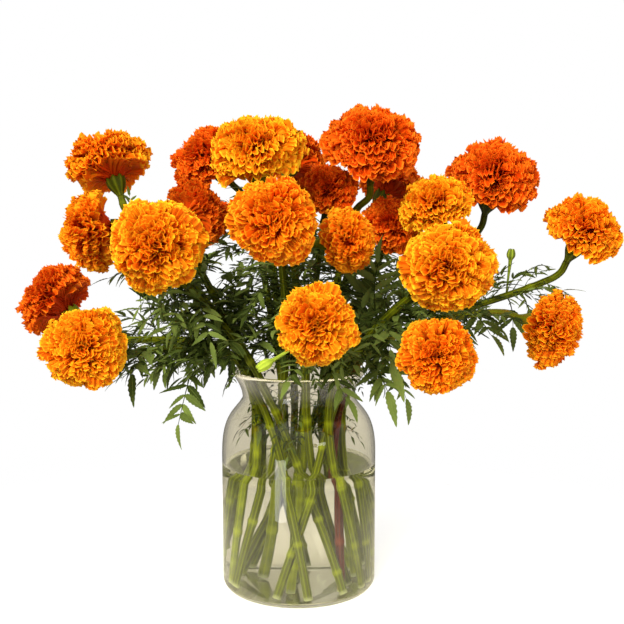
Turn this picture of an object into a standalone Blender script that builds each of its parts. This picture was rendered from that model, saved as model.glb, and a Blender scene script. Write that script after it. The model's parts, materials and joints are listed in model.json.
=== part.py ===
"""A florist's bouquet of African marigolds in a clear glass bottle vase with water.

Every flower is two pieces: a stem, grown in one with the green cup under its petals, and the
ball of petals that sits on the cup. The stems stand on the floor of the vase, cross at its
waist, lean out over its rim and carry the heads. Feathery leaves and two young buds fill in
between them. The origin is the middle of the vase's foot, +X runs to the right of the bouquet's
show side and -Y faces the viewer. Sizes below are in millimetres and are scaled to metres when
a mesh is made.
"""

import math

import bmesh
import bpy
import numpy as np
from mathutils import Vector

MM = 0.001
GAP = 0.3  # air left between two pieces that touch

# Vase
VASE_HEIGHT = 180.0
BODY_RADIUS = 63.5
NECK_RADIUS = 46.2
RIM_RADIUS = 55.0
HEEL_RADIUS = 8.0
SHOULDER_BOTTOM = 112.0
NECK_LEVEL = 158.0
GLASS_WALL = 2.8
GLASS_FLOOR = 5.5
VASE_SEGMENTS = 40

# Water
WATER_LEVEL = 102.0

# Stems
STEM_RADIUS = 3.2
STEM_TAPER = 0.12
STEM_TO_GLASS = 1.5
STEM_TO_STEM = 1.6
STEM_TO_HEAD = 2.5
STIFFNESS = 0.07  # how strongly a stem irons out its own bends in one step
SMOOTHING = 0.02  # how strongly it straightens in one step
EASING_STEPS = 420
LONGEST_STEP = 1.5
POINTS_TO_A_RUN = 4  # where touching is tested between two points of a stem
CUP_LENGTH = 14.0
CUP_TAIL = 12.0  # straight length of stem that leads into the cup
CUP_PROFILE = ((0.15, 0.62), (0.5, 0.86), (1.0, 1.0))  # share of its length, of its mouth
MOUTH_LEVEL = 188.0  # where a stem is free of the vase
STEM_SIDES = 6
LEVELS_IN_VASE = 10
POINTS_ABOVE = 8

# Heads
HEAD_SEGMENTS = 12
HEAD_BASE = 0.65  # how far the head's middle stands over the cup, in head radii
HEAD_HEIGHT = 0.68  # half its height in head radii
HEAD_PROFILE = (  # radius and height of the ball of petals, in head radii
    (0.26, 0.0),
    (0.62, 0.10),
    (0.93, 0.34),
    (1.0, 0.58),
    (0.93, 0.86),
    (0.70, 1.12),
    (0.36, 1.27),
    (0.0, 1.31),
)

ORANGE = (0.90, 0.27, 0.01)
DEEP_ORANGE = (0.62, 0.10, 0.005)
STEM_GREEN = (0.16, 0.26, 0.06)
STEM_MAROON = (0.16, 0.04, 0.03)
LEAF_GREEN = (0.05, 0.12, 0.03)
BUD_GREEN = (0.40, 0.55, 0.08)
WATER_TINT = (0.80, 0.84, 0.78)

# One row for each flower: the middle of its head, the head's radius, the way it faces, how deep
# its orange is from 0 to 1, and where its stem passes the neck and stands on the floor (x, y).
FLOWERS = (
    ((-161, 35, 354), 34.5, (-0.35, 0.35, 0.87), 0.35, (-30, 14), (-40, 34)),
    ((-168, -10, 294), 33, (-0.98, -0.12, -0.10), 0.35, (-36, 2), (-53, 6)),
    ((-206, 20, 239), 33, (-0.74, 0.21, 0.64), 0.70, (-34, -8), (-48, -16)),
    ((-162, -60, 207), 33.5, (-0.12, -0.94, 0.30), 0.20, (-26, -22), (10, -52)),
    ((-100, -95, 285), 34.5, (0.10, -0.96, 0.25), 0.20, (-14, -32), (43, -36)),
    ((-84, 27, 311), 30, (0.55, 0.65, 0.49), 0.85, (-16, 8), (26, 36)),
    ((-83, 63, 358), 33, (-0.67, -0.31, 0.67), 0.60, (-20, 28), (4, 54)),
    ((-34, -15, 360), 38, (-0.15, -0.35, 0.92), 0.20, (-8, -8), (-20, 18)),
    ((-3, 110, 359), 30.5, (0.33, 0.77, 0.55), 0.95, (4, 34), (-26, 46)),
    ((-15, -100, 304), 33, (0.0, -0.97, 0.25), 0.30, (2, -20), (-52, -20)),
    ((39, -60, 288), 27.5, (0.83, -0.55, 0.11), 0.50, (14, -10), (-6, -32)),
    ((26, 30, 330), 26, (0.11, -0.75, 0.65), 0.65, (4, 6), (-4, 2)),
    ((62, 10, 368), 40.5, (0.05, -0.50, 0.86), 0.75, (12, 14), (34, 12)),
    ((84, 95, 339), 31.5, (0.51, 0.41, 0.76), 0.70, (20, 30), (28, 48)),
    ((79, 28, 301), 27, (0.15, -0.77, 0.62), 0.90, (22, 8), (-36, 12)),
    ((110, -9, 317), 31, (-0.20, -0.35, 0.91), 0.05, (24, -4), (52, -10)),
    ((109, -100, 270), 35.5, (0.16, -0.95, 0.28), 0.10, (24, -24), (-16, -50)),
    ((167, 41, 342), 39.5, (0.12, -0.50, 0.86), 0.85, (32, 18), (46, 28)),
    ((235, 0, 297), 32, (0.33, -0.48, 0.81), 0.35, (37, 4), (54, 8)),
    ((203, -30, 217), 30.5, (0.75, -0.62, -0.22), 0.45, (36, -10), (24, -34)),
    ((101, -105, 207), 29.5, (0.10, -0.95, 0.30), 0.30, (14, -34), (50, -22)),
    ((14, -120, 231), 29, (0.0, -0.97, 0.25), 0.25, (0, -36), (32, -12)),
)
MAROON_STEM = 20  # the one reddish stem

# One row for each leaf: the stem it grows on, how far up that stem from the mouth of the vase
# to the head (0 to 1), the way it points (degrees from +X), its rise in degrees and its length.
LEAVES = (
    (4, 0.55, 175, 10, 72),
    (3, 0.35, 160, -10, 70),
    (4, 0.28, 255, -40, 55),
    (5, 0.30, 235, 20, 66),
    (22, 0.25, 300, -15, 52),
    (10, 0.30, 265, 15, 60),
    (20, 0.15, 300, -35, 42),
    (20, 0.60, 215, 50, 42),
    (19, 0.62, 5, 25, 66),
    (14, 0.20, 60, 0, 74),
    (9, 0.20, 95, 0, 74),
    (7, 0.20, 130, 5, 74),
)
LEAF_WIDTH = 0.20  # half width in leaf lengths
LEAF_THICKNESS = 1.2
LEAF_DROOP = 0.28
LEAF_STATIONS = 11
LEAF_START = 1.6  # air between a stem's skin and the middle of its leaf's foot
LEAF_TO_STEM = 3.2
LEAF_TO_OWN_STEM = 0.75
LEAF_TO_HEAD = 3.0
LEAF_TO_GLASS = 3.0
LEAF_TO_LEAF = 4.5
LEAF_FOOT = 16.0  # length of a leaf that may run close to its own stem
TILTS_TRIED = (0, -12, 12, -24, 24, -36, 36, -50, 50)
TURNS_TRIED = (0, -10, 10, -20, 20, -30, 30, -40, 40, -55, 55, -70, 70)

# One row for each bud: the stem it grows on, how far up that stem as for a leaf, the way it points,
# and the lengths of its stalk and of the bud, and the bud's radius.
BUDS = (
    ("bud_hanging", 22, 0.57, (-0.84, -0.25, -0.48), 31, 13, 4.6),
    ("bud_right", 19, 0.69, (0.08, -0.10, 1.0), 26, 9, 4),
)
STALK_RADIUS = 1.0


def bezier(p0, p1, p2, p3, count):
    """Points along a cubic curve, its first point left out."""
    p0, p1, p2, p3 = (np.array(p, float) for p in (p0, p1, p2, p3))
    points = []
    for i in range(1, count + 1):
        t = i / count
        s = 1 - t
        points.append(s**3 * p0 + 3 * s * s * t * p1 + 3 * s * t * t * p2 + t**3 * p3)
    return [tuple(p) for p in points]


def outer_profile():
    """The outside of the vase as (radius, height), from the middle of its foot to its rim."""
    profile = [(0.0, 0.0), (BODY_RADIUS - HEEL_RADIUS, 0.0)]
    for i in range(1, 4):
        turn = math.radians(30 * i)
        radius = BODY_RADIUS - HEEL_RADIUS * (1 - math.sin(turn))
        profile.append((radius, HEEL_RADIUS * (1 - math.cos(turn))))
    shoulder = (BODY_RADIUS, SHOULDER_BOTTOM)
    neck = (NECK_RADIUS, NECK_LEVEL)
    rim = (RIM_RADIUS, VASE_HEIGHT)
    profile.append(shoulder)
    profile += bezier(shoulder, (BODY_RADIUS, 145), (NECK_RADIUS + 6, 146), neck, 7)
    profile += bezier(neck, (NECK_RADIUS, 166), (RIM_RADIUS - 4, 173), rim, 4)
    return profile


def inner_profile(wall):
    """The inside surface, a wall's thickness in from the outside, from the rim to the floor."""
    outside = outer_profile()[1:]
    inside = []
    for i, (radius, height) in enumerate(outside):
        before = outside[max(i - 1, 0)]
        after = outside[min(i + 1, len(outside) - 1)]
        run = Vector((after[0] - before[0], after[1] - before[1])).normalized()
        inside.append((radius - run.y * wall, height + run.x * wall))
    floor = GLASS_FLOOR + wall - GLASS_WALL
    inside = [(r, max(z, floor)) for r, z in inside]
    inside = [p for i, p in enumerate(inside) if i == 0 or p[1] > floor]
    inside[0] = (inside[0][0], floor)
    inside[-1] = (inside[-1][0], VASE_HEIGHT)
    return inside[::-1] + [(0.0, floor)]


def inner_radius(height):
    """The free radius inside the vase at a height."""
    inside = sorted(inner_profile(GLASS_WALL)[:-1], key=lambda p: p[1])
    return np.interp(height, [p[1] for p in inside], [p[0] for p in inside])


def material(name, colour, roughness=0.6, alpha=1.0):
    made = bpy.data.materials.new(name)
    made.use_nodes = True
    shader = made.node_tree.nodes["Principled BSDF"]
    shader.inputs["Base Color"].default_value = (*colour, 1.0)
    shader.inputs["Roughness"].default_value = roughness
    shader.inputs["Alpha"].default_value = alpha
    return made


def add_object(name, points, faces, finish):
    """A named object from points in millimetres, its faces turned outwards."""
    mesh = bpy.data.meshes.new(name)
    mesh.from_pydata([Vector(p) * MM for p in points], [], faces)
    shape = bmesh.new()
    shape.from_mesh(mesh)
    bmesh.ops.recalc_face_normals(shape, faces=shape.faces)
    shape.to_mesh(mesh)
    shape.free()
    mesh.shade_smooth()
    mesh.materials.append(finish)
    placed = bpy.data.objects.new(name, mesh)
    bpy.context.scene.collection.objects.link(placed)
    return placed


def turned(profile, segments):
    """Points and faces of a profile of (radius, height) turned about Z; radius 0 is a pole."""
    points, faces, rings = [], [], []
    for radius, height in profile:
        start = len(points)
        if radius == 0:
            points.append((0.0, 0.0, height))
            rings.append([start] * segments)
            continue
        for k in range(segments):
            turn = 2 * math.pi * k / segments
            points.append((radius * math.cos(turn), radius * math.sin(turn), height))
        rings.append(list(range(start, start + segments)))
    for low, high in zip(rings, rings[1:]):
        for k in range(segments):
            n = (k + 1) % segments
            corners = [low[k], low[n], high[n], high[k]]
            faces.append(list(dict.fromkeys(corners)))
    for end in (rings[0], rings[-1]):
        if end[0] != end[1]:
            faces.append(end)
    return points, faces


def tube(centres, radii, sides):
    """Points and faces of a round bar along centres, its foot cut level to stand."""
    points, faces = [], []
    side = Vector((1.0, 0.0, 0.0))
    last = len(centres) - 1
    for i, (centre, radius) in enumerate(zip(centres, radii)):
        along = centres[min(i + 1, last)] - centres[max(i - 1, 0)]
        along = along.normalized() if i else Vector((0, 0, 1))
        side = (side - along * side.dot(along)).normalized()
        across = along.cross(side)
        for k in range(sides):
            turn = 2 * math.pi * k / sides
            points.append(centre + (side * math.cos(turn) + across * math.sin(turn)) * radius)
    for i in range(last):
        for k in range(sides):
            n = (k + 1) % sides
            low, high = i * sides, (i + 1) * sides
            faces.append((low + k, low + n, high + n, high + k))
    faces.append(list(range(sides)))
    faces.append(list(range(last * sides, (last + 1) * sides)))
    return points, faces


class Flower:
    """One flower's measures, worked out from its row."""

    def __init__(self, number, row):
        middle, self.radius, facing, self.tone, neck, foot = row
        self.number = number
        self.middle = np.array(middle, float)
        self.facing = np.array(facing, float)
        self.facing /= np.linalg.norm(self.facing)
        self.seat = self.middle - self.facing * self.radius * HEAD_BASE
        self.cup_mouth = self.seat - self.facing * GAP
        self.cup_base = self.cup_mouth - self.facing * CUP_LENGTH
        self.neck = np.array(neck, float)
        self.foot = np.array(foot, float)


def first_lines(flowers):
    """Straight runs from foot to neck to mouth, then a smooth curve to the cup."""
    foot_level = GLASS_FLOOR + GAP
    levels = np.linspace(foot_level, MOUTH_LEVEL, LEVELS_IN_VASE)
    lines = np.zeros((len(flowers), LEVELS_IN_VASE + POINTS_ABOVE, 3))
    for line, flower in zip(lines, flowers):
        rise = (levels - foot_level) / (NECK_LEVEL - foot_level)
        line[:LEVELS_IN_VASE, :2] = flower.foot + rise[:, None] * (flower.neck - flower.foot)
        above = levels > NECK_LEVEL
        line[:LEVELS_IN_VASE, :2][above] = flower.neck * (1 + 0.012 * (levels[above, None] - NECK_LEVEL))
        line[:LEVELS_IN_VASE, 2] = levels
        start = line[LEVELS_IN_VASE - 1]
        end = flower.cup_base - flower.facing * CUP_TAIL
        reach = np.linalg.norm(end - start)
        lean = np.array((*(flower.neck * 0.02), 1.0))
        lean /= np.linalg.norm(lean)
        curve = bezier(
            start,
            start + lean * reach * 0.35,
            end - flower.facing * reach * 0.3,
            end,
            POINTS_ABOVE - 1,
        )
        line[LEVELS_IN_VASE:-1] = curve
        line[-1] = flower.cup_base
    return lines


def spread(lines, cuts):
    """Points along every line, cuts to a run, with the two line points that each lies between."""
    start, end = lines[:, :-1, None, :], lines[:, 1:, None, :]
    share = ((np.arange(cuts) + 0.5) / cuts)[None, None, :, None]
    return start + (end - start) * share


def settle(flowers):
    """The stems' centre lines, eased until no stem touches another, the glass or a head."""
    lines = first_lines(flowers)
    count, length, _ = lines.shape
    cuts = POINTS_TO_A_RUN
    glass = glass_points()
    free_above = slice(LEVELS_IN_VASE, length - 2)
    near_a = near_b = None
    apart = 2 * STEM_RADIUS + STEM_TO_STEM
    owner = np.repeat(np.arange(count), (length - 1) * cuts)
    heads = np.array([f.middle for f in flowers])
    facings = np.array([f.facing for f in flowers])
    radii = np.array([f.radius for f in flowers])
    for step in range(EASING_STEPS):
        shares = spread(lines, cuts)
        flat = shares.reshape(-1, 3)
        if step % 10 == 0:
            near_a, near_b = near_pairs(flat, owner, apart + 14)
        push = np.zeros_like(flat)
        between = flat[near_a] - flat[near_b]
        reach = np.linalg.norm(between, axis=1)
        close = reach < apart
        shove = between[close] / reach[close, None] * ((apart - reach[close]) * 0.5)[:, None]
        np.add.at(push, near_a[close], shove)
        np.add.at(push, near_b[close], -shove)
        push += head_push(flat, owner, shares.shape, heads, facings, radii)
        push += glass_push(flat, glass)
        moved = push.reshape(shares.shape).sum(axis=2) * 0.45
        ease = np.zeros_like(lines)
        ease[:, :-1] += moved
        ease[:, 1:] += moved
        bend = lines[:, :-2] + lines[:, 2:] - 2 * lines[:, 1:-1]
        ease[:, 1:-1] += bend * (2 * STIFFNESS + SMOOTHING)
        ease[:, :-2] -= bend * STIFFNESS
        ease[:, 2:] -= bend * STIFFNESS
        ease[:, :LEVELS_IN_VASE, 2] = 0
        ease = np.clip(ease, -LONGEST_STEP, LONGEST_STEP)
        lines[:, :LEVELS_IN_VASE] += ease[:, :LEVELS_IN_VASE]
        lines[:, free_above] += ease[:, free_above]
        keep_in_vase(lines)
    return lines


def near_pairs(points, owner, reach):
    """Index pairs of points on different stems that lie within reach of each other."""
    order = np.argsort(points[:, 2])
    height = points[order, 2]
    firsts, seconds = [], []
    top = np.searchsorted(height, height + reach)
    for i, end in enumerate(top):
        others = order[i + 1 : end]
        others = others[owner[others] != owner[order[i]]]
        gap = np.linalg.norm(points[others] - points[order[i]], axis=1)
        others = others[gap < reach]
        firsts.append(np.full(len(others), order[i]))
        seconds.append(others)
    return np.concatenate(firsts), np.concatenate(seconds)


def head_push(flat, owner, shape, heads, facings, radii):
    """How far each point must move to leave every head, taken as a flattened ball."""
    push = np.zeros_like(flat)
    run = np.tile(np.arange(shape[1]).repeat(shape[2]), shape[0])
    for number, (middle, facing, radius) in enumerate(zip(heads, facings, radii)):
        offset = flat - middle
        rise = offset @ facing
        side = offset - np.outer(rise, facing)
        wide = radius + STEM_RADIUS + STEM_TO_HEAD
        high = radius * HEAD_HEIGHT + STEM_RADIUS + STEM_TO_HEAD
        depth = np.sqrt((np.linalg.norm(side, axis=1) / wide) ** 2 + (rise / high) ** 2)
        inside = (depth < 1) & ~((owner == number) & (run > shape[1] - 4))
        outward = side / wide**2 + np.outer(rise, facing) / high**2
        outward /= np.linalg.norm(outward, axis=1)[:, None] + 1e-9
        push[inside] += outward[inside] * ((1 - depth[inside]) * high)[:, None]
    return push


def glass_points():
    """Points close together along the inside of the glass and over its rim."""
    wall = inner_profile(GLASS_WALL)[::-1]
    wall.append((RIM_RADIUS, VASE_HEIGHT))
    wall.append(outer_profile()[-2])
    runs = []
    for low, high in zip(wall, wall[1:]):
        steps = max(2, int(math.dist(low, high) / 1.5))
        runs.append(np.linspace(low, high, steps))
    return np.concatenate(runs)


def glass_push(flat, glass):
    """How far each point must move to keep a stem off the glass."""
    radius = np.linalg.norm(flat[:, :2], axis=1) + 1e-9
    seen = np.stack([radius, flat[:, 2]], axis=1)
    offset = seen[:, None] - glass[None]
    reach = np.linalg.norm(offset, axis=2)
    nearest = reach.argmin(axis=1)
    rows = np.arange(len(flat))
    short = np.clip(STEM_RADIUS + STEM_TO_GLASS - reach[rows, nearest], 0, None)
    away = offset[rows, nearest] / (reach[rows, nearest, None] + 1e-9) * short[:, None]
    push = np.zeros_like(flat)
    push[:, :2] = flat[:, :2] / radius[:, None] * away[:, :1]
    push[:, 2] = away[:, 1]
    return push


def keep_in_vase(lines):
    """Holds the points below the mouth inside the glass."""
    held = lines[:, : LEVELS_IN_VASE - 1]
    room = inner_radius(held[0, :, 2]) - STEM_RADIUS - STEM_TO_GLASS
    radius = np.linalg.norm(held[:, :, :2], axis=2)
    held[:, :, :2] *= np.minimum(1, room / (radius + 1e-9))[:, :, None]


def make_vase():
    profile = outer_profile() + inner_profile(GLASS_WALL)
    points, faces = turned(profile, VASE_SEGMENTS)
    finish = material("clear_glass", (0.92, 0.95, 0.93), 0.03, 0.25)
    return add_object("vase", points, faces, finish)


def stem_radii(count):
    """A stem's radii from foot to cup, a little thinner upwards."""
    return [STEM_RADIUS * (1 - STEM_TAPER * i / (count - 1)) for i in range(count)]


def make_stem(flower, line):
    """The stem and the green cup that flares to the head's seat, one grown piece."""
    centres = [Vector(p) for p in line]
    radii = stem_radii(len(centres))
    mouth = HEAD_PROFILE[0][0] * flower.radius
    for share, width in CUP_PROFILE:
        along = flower.cup_base + (flower.cup_mouth - flower.cup_base) * share
        centres.append(Vector(along))
        radii.append(mouth * width)
    points, faces = tube(centres, radii, STEM_SIDES)
    colour = STEM_MAROON if flower.number == MAROON_STEM else STEM_GREEN
    name = f"stem_{flower.number:02d}"
    return add_object(name, points, faces, material(name, colour))


def place(made, spot, facing):
    """Stands an object made along +Z at a spot, facing a way."""
    made.location = Vector(spot) * MM
    made.rotation_mode = "QUATERNION"
    made.rotation_quaternion = Vector(facing).to_track_quat("Z", "Y")


def make_head(flower):
    profile = [(r * flower.radius, z * flower.radius) for r, z in HEAD_PROFILE]
    points, faces = turned(profile, HEAD_SEGMENTS)
    colour = [a + (b - a) * flower.tone for a, b in zip(ORANGE, DEEP_ORANGE)]
    name = f"head_{flower.number:02d}"
    head = add_object(name, points, faces, material(name, colour, 0.7))
    place(head, flower.seat, flower.facing)
    return head


def make_water(lines):
    """Water to its level inside the glass, with a channel for every stem."""
    inside = inner_profile(GLASS_WALL + GAP)
    wet = [(r, z) for r, z in inside[:-1] if z < WATER_LEVEL]
    profile = [(0.0, WATER_LEVEL), (wet[0][0], WATER_LEVEL)] + wet + [inside[-1]]
    points, faces = turned(profile, VASE_SEGMENTS)
    water = add_object("water", points, faces, material("water", WATER_TINT, 0.02, 0.3))
    room = (GAP + 0.05) / math.cos(math.pi / STEM_SIDES)
    for number, line in enumerate(lines, 1):
        centres = [Vector(p) for p in line[:LEVELS_IN_VASE]]
        radii = [radius + room for radius in stem_radii(len(line))[:LEVELS_IN_VASE]]
        below = centres[0] - Vector((0, 0, STEM_RADIUS))
        points, faces = tube([below] + centres, radii[:1] + radii, STEM_SIDES)
        cutter = add_object(f"channel_{number:02d}", points, faces, None)
        cutter.hide_render = True
        cutter.display_type = "WIRE"
        cut = water.modifiers.new(cutter.name, "BOOLEAN")
        cut.operation = "DIFFERENCE"
        cut.object = cutter
    return water


class Thicket:
    """Everything that a new leaf has to miss."""

    def __init__(self, flowers, lines):
        self.flowers = flowers
        self.points = spread(lines, 8).reshape(-1, 3)
        self.owner = np.repeat(np.arange(len(lines)), (lines.shape[1] - 1) * 8)
        self.soft = np.zeros((0, 3))

    def add(self, points):
        self.soft = np.concatenate([self.soft, points])

    def misses(self, points, host=None):
        """True if the points are clear of all stems, heads, glass and other leaves."""
        for flower in self.flowers:
            offset = points - flower.middle
            rise = offset @ flower.facing
            side = np.linalg.norm(offset - np.outer(rise, flower.facing), axis=1)
            wide, high = flower.radius + LEAF_TO_HEAD, flower.radius * HEAD_HEIGHT + LEAF_TO_HEAD
            if np.any((side / wide) ** 2 + (rise / high) ** 2 < 1):
                return False
        radius = np.linalg.norm(points[:, :2], axis=1)
        low = points[:, 2] < VASE_HEIGHT + LEAF_TO_GLASS
        if np.any(low & (radius < RIM_RADIUS + LEAF_TO_GLASS)):
            return False
        gap = np.linalg.norm(points[:, None] - self.points[None], axis=2)
        need = np.full(gap.shape, STEM_RADIUS + LEAF_TO_STEM)
        if host is not None:
            beside = np.linalg.norm(points - points[0], axis=1) < LEAF_FOOT
            need[np.ix_(beside, self.owner == host)] = STEM_RADIUS + LEAF_TO_OWN_STEM
        if np.any(gap < need):
            return False
        if len(self.soft) == 0:
            return True
        return bool(np.linalg.norm(points[:, None] - self.soft[None], axis=2).min() > LEAF_TO_LEAF)


def pointing(azimuth, rise):
    """The unit vector that points this way, both in degrees."""
    flat, lift = math.radians(azimuth), math.radians(rise)
    return np.array((math.cos(flat) * math.cos(lift), math.sin(flat) * math.cos(lift), math.sin(lift)))


def leaf_frame(start, azimuth, rise, length):
    """Stations along a drooping leaf: middle, side and up vectors and half width."""
    way = pointing(azimuth, rise)
    side = pointing(azimuth + 90, 0)
    stations = []
    for i in range(LEAF_STATIONS):
        t = i / (LEAF_STATIONS - 1)
        middle = start + way * length * t - np.array((0, 0, 1)) * length * LEAF_DROOP * t * t
        along = way - np.array((0, 0, 1)) * 2 * LEAF_DROOP * t
        along /= np.linalg.norm(along)
        up = np.cross(along, side)
        lobe = 1.0 if i % 2 else 0.45
        half = length * LEAF_WIDTH * math.sin(math.pi * t**0.85) * lobe
        stations.append((middle, side, up, max(half, 0.9)))
    return stations


def leaf_samples(stations):
    """Points all over a leaf, and halfway between its stations, to test for room."""
    samples = []
    for middle, side, _, half in stations:
        samples += [middle + side * half * share for share in (0, -1, -0.66, -0.33, 0.33, 0.66, 1)]
    samples = np.array(samples).reshape(len(stations), 7, 3)
    between = (samples[1:] + samples[:-1]) / 2
    return np.concatenate([samples.reshape(-1, 3), between.reshape(-1, 3)])


def stem_skin(line, share, way, air):
    """Where something that points this way starts, with some air to the skin of its stem."""
    reach = (LEVELS_IN_VASE - 1) + share * (POINTS_ABOVE - 1)
    at = int(reach)
    start = line[at] + (line[at + 1] - line[at]) * (reach - at)
    along = (line[at + 1] - line[at]) / np.linalg.norm(line[at + 1] - line[at])
    out = way - along * (way @ along)
    out /= np.linalg.norm(out) + 1e-9
    return start + out * (STEM_RADIUS + air)


def find_room(row, lines, thicket):
    """The leaf's stations where it first has room, turning it away from its row step by step."""
    stem, share, azimuth, rise, length = row
    for tilt in TILTS_TRIED:
        for turn in TURNS_TRIED:
            way = pointing(azimuth + turn, rise + tilt)
            origin = stem_skin(lines[stem - 1], share, way, LEAF_START)
            stations = leaf_frame(origin, azimuth + turn, rise + tilt, length)
            samples = leaf_samples(stations)
            if thicket.misses(samples, stem - 1):
                thicket.add(samples)
                return stations
    raise RuntimeError(f"no room for a leaf on stem {stem}")


def make_leaf(number, stations):
    """A thin blade with toothed edges and a raised midrib, closed all round."""
    points, faces = [], []
    for middle, side, up, half in stations:
        edge = up * LEAF_THICKNESS * 0.25
        rib = up * LEAF_THICKNESS * 0.5
        left, right = middle - side * half, middle + side * half
        points += [left + edge, middle + rib, right + edge]
        points += [right - edge, middle - rib, left - edge]
    for i in range(len(stations) - 1):
        for k in range(6):
            n = (k + 1) % 6
            faces.append((6 * i + k, 6 * i + n, 6 * i + 6 + n, 6 * i + 6 + k))
    last = 6 * (len(stations) - 1)
    for end in (0, last):
        faces.append((end, end + 1, end + 4, end + 5))
        faces.append((end + 1, end + 2, end + 3, end + 4))
    name = f"leaf_{number:02d}"
    return add_object(name, points, faces, material(name, LEAF_GREEN))


def make_bud(row, lines, thicket):
    """A young bud on its own thin stalk, turned in one piece."""
    name, stem, share, facing, stalk, length, radius = row
    profile = [(0.0, 0.0), (STALK_RADIUS, 0.0), (STALK_RADIUS, stalk)]
    for i in range(1, 7):
        turn = math.pi * i / 7
        profile.append((radius * math.sin(turn) ** 0.8, stalk + length * (1 - math.cos(turn)) / 2))
    profile.append((0.0, stalk + length))
    way = np.array(facing) / np.linalg.norm(facing)
    foot = stem_skin(lines[stem - 1], share, way, STALK_RADIUS)
    samples = np.array([foot + way * z for z in np.linspace(0, stalk + length, 9)])
    if not thicket.misses(samples, stem - 1):
        raise RuntimeError(f"no room for {name}")
    thicket.add(samples)
    points, faces = turned(profile, 10)
    bud = add_object(name, points, faces, material(name, BUD_GREEN))
    place(bud, foot, facing)
    return bud


def main():
    for old in list(bpy.data.objects):
        bpy.data.objects.remove(old)
    flowers = [Flower(number, row) for number, row in enumerate(FLOWERS, 1)]
    lines = settle(flowers)
    make_vase()
    make_water(lines)
    for flower, line in zip(flowers, lines):
        make_stem(flower, line)
        make_head(flower)
    thicket = Thicket(flowers, lines)
    for row in BUDS:
        make_bud(row, lines, thicket)
    for number, row in enumerate(LEAVES, 1):
        make_leaf(number, find_room(row, lines, thicket))


main()
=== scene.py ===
"""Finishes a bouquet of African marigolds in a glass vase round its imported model.

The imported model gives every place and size: the stems' centre lines, the seat, facing and radius
of each head, where each leaf and bud grows, and the vase. This script grows the visible bouquet
on them: ruffled petals, ribbed cups, jointed stems, pinnate leaves, buds, glass and water.
"""

import json
import math
import random

import bmesh
import bpy
import numpy as np
from bpy.props import FloatProperty, FloatVectorProperty, IntProperty, PointerProperty
from mathutils import Matrix, Vector

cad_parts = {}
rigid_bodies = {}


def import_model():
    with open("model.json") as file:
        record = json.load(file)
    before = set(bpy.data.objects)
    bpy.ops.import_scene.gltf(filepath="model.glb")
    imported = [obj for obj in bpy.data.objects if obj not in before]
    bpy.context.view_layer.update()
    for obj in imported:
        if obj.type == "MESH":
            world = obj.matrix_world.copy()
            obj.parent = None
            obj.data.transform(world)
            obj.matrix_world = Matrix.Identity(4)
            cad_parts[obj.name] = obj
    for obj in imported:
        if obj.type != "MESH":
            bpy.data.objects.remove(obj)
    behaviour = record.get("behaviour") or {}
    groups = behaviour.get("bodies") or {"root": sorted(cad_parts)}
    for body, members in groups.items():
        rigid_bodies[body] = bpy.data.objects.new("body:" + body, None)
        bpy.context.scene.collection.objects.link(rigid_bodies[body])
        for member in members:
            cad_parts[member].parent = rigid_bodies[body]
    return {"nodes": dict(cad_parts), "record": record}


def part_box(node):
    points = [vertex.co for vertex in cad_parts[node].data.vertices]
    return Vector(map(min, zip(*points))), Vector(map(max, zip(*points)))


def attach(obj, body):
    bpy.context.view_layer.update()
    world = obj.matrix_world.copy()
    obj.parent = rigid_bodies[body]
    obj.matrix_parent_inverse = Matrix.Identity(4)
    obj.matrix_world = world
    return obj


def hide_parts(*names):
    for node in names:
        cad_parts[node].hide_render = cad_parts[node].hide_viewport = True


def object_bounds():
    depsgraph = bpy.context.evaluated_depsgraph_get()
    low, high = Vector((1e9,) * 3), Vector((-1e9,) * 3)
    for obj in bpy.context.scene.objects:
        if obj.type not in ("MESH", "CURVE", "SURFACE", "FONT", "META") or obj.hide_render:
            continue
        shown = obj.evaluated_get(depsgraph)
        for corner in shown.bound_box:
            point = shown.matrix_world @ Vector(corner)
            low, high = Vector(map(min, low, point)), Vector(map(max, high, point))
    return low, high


bl_info = {
    "name": "Marigold Bouquet",
    "version": (1, 0, 0),
    "blender": (4, 5, 0),
    "location": "View3D > Sidebar > Bouquet",
    "description": "Grows the petals, stems, leaves, glass and water of a marigold bouquet",
    "category": "Object",
}

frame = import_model()
CAD_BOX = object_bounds()

FLOWER_NUMBERS = range(1, 23)
LEAF_NUMBERS = range(1, 13)
VASE_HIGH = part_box("vase")[1]
WATER_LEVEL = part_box("water")[1].z
GOLDEN_ANGLE = math.pi * (3 - math.sqrt(5))
SEAT_GAP = 0.0003
SEAT_SHARE = 0.65  # how far a head's middle stands over its seat, in head radii


# Settings


def colour_setting(name, description, default):
    return FloatVectorProperty(name=name, description=description, subtype="COLOR", default=default)


def length_setting(name, description, default):
    return FloatProperty(name=name, description=description, subtype="DISTANCE", default=default)


class PetalSettings(bpy.types.PropertyGroup):
    count: IntProperty(name="Petals", description="Petals on a head 35 mm in radius", default=205, min=20)
    ruffle: FloatProperty(name="Ruffle", description="Height of the ruffles in petal lengths", default=0.10)
    golden: colour_setting("Golden", "Petals of the golden heads", (1.0, 0.40, 0.007))
    orange: colour_setting("Orange", "Petals of the orange heads", (1.0, 0.32, 0.005))
    red_orange: colour_setting("Red orange", "Petals of the deepest heads", (0.82, 0.145, 0.003))
    heart: colour_setting("Heart", "The shaded foot of every petal", (0.58, 0.045, 0.001))
    glow: FloatProperty(name="Glow", description="Share of light that passes through a petal", default=0.35)


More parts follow.
